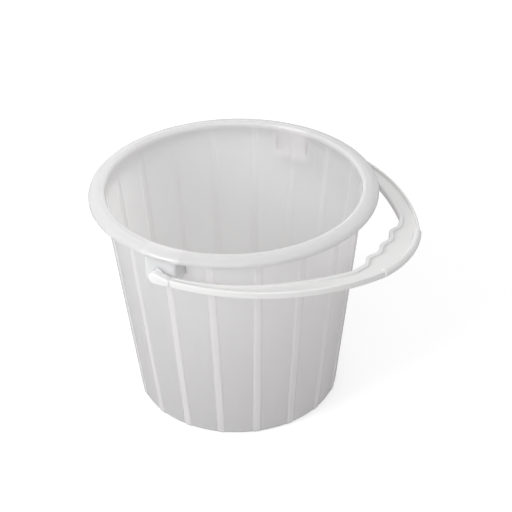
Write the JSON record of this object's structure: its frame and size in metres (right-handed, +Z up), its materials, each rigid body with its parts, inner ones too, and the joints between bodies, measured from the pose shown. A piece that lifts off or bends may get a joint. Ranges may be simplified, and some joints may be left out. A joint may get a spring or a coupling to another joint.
{
  "type": "yogurt bucket",
  "caption": "Tapered plastic bucket with vertical ribs, a rolled rim with hinge ears, and a swinging carry handle with a scalloped finger grip",
  "frame": {"origin": "the middle of the underside of the base", "axes": "+Z up along the bucket's axis, +X towards the grip of the handle as it rests, Y along the handle's pivot axis"},
  "size_m": [0.2804, 0.258, 0.195],
  "materials": {
    "bucket": "milky translucent polypropylene, satin",
    "handle": "opaque white polypropylene, soft gloss"
  },
  "bodies": {
    "bucket": {"bucket_body": "bucket"},
    "handle": {"carry_handle": "handle"}
  },
  "joints": [
    {"name": "handle_swing", "type": "hinge", "parent": "bucket", "child": "handle", "pos_m": [0, 0, 0.1766], "axis": [0, -1, 0], "range_deg": [-37.1, 221.3]}
  ]
}
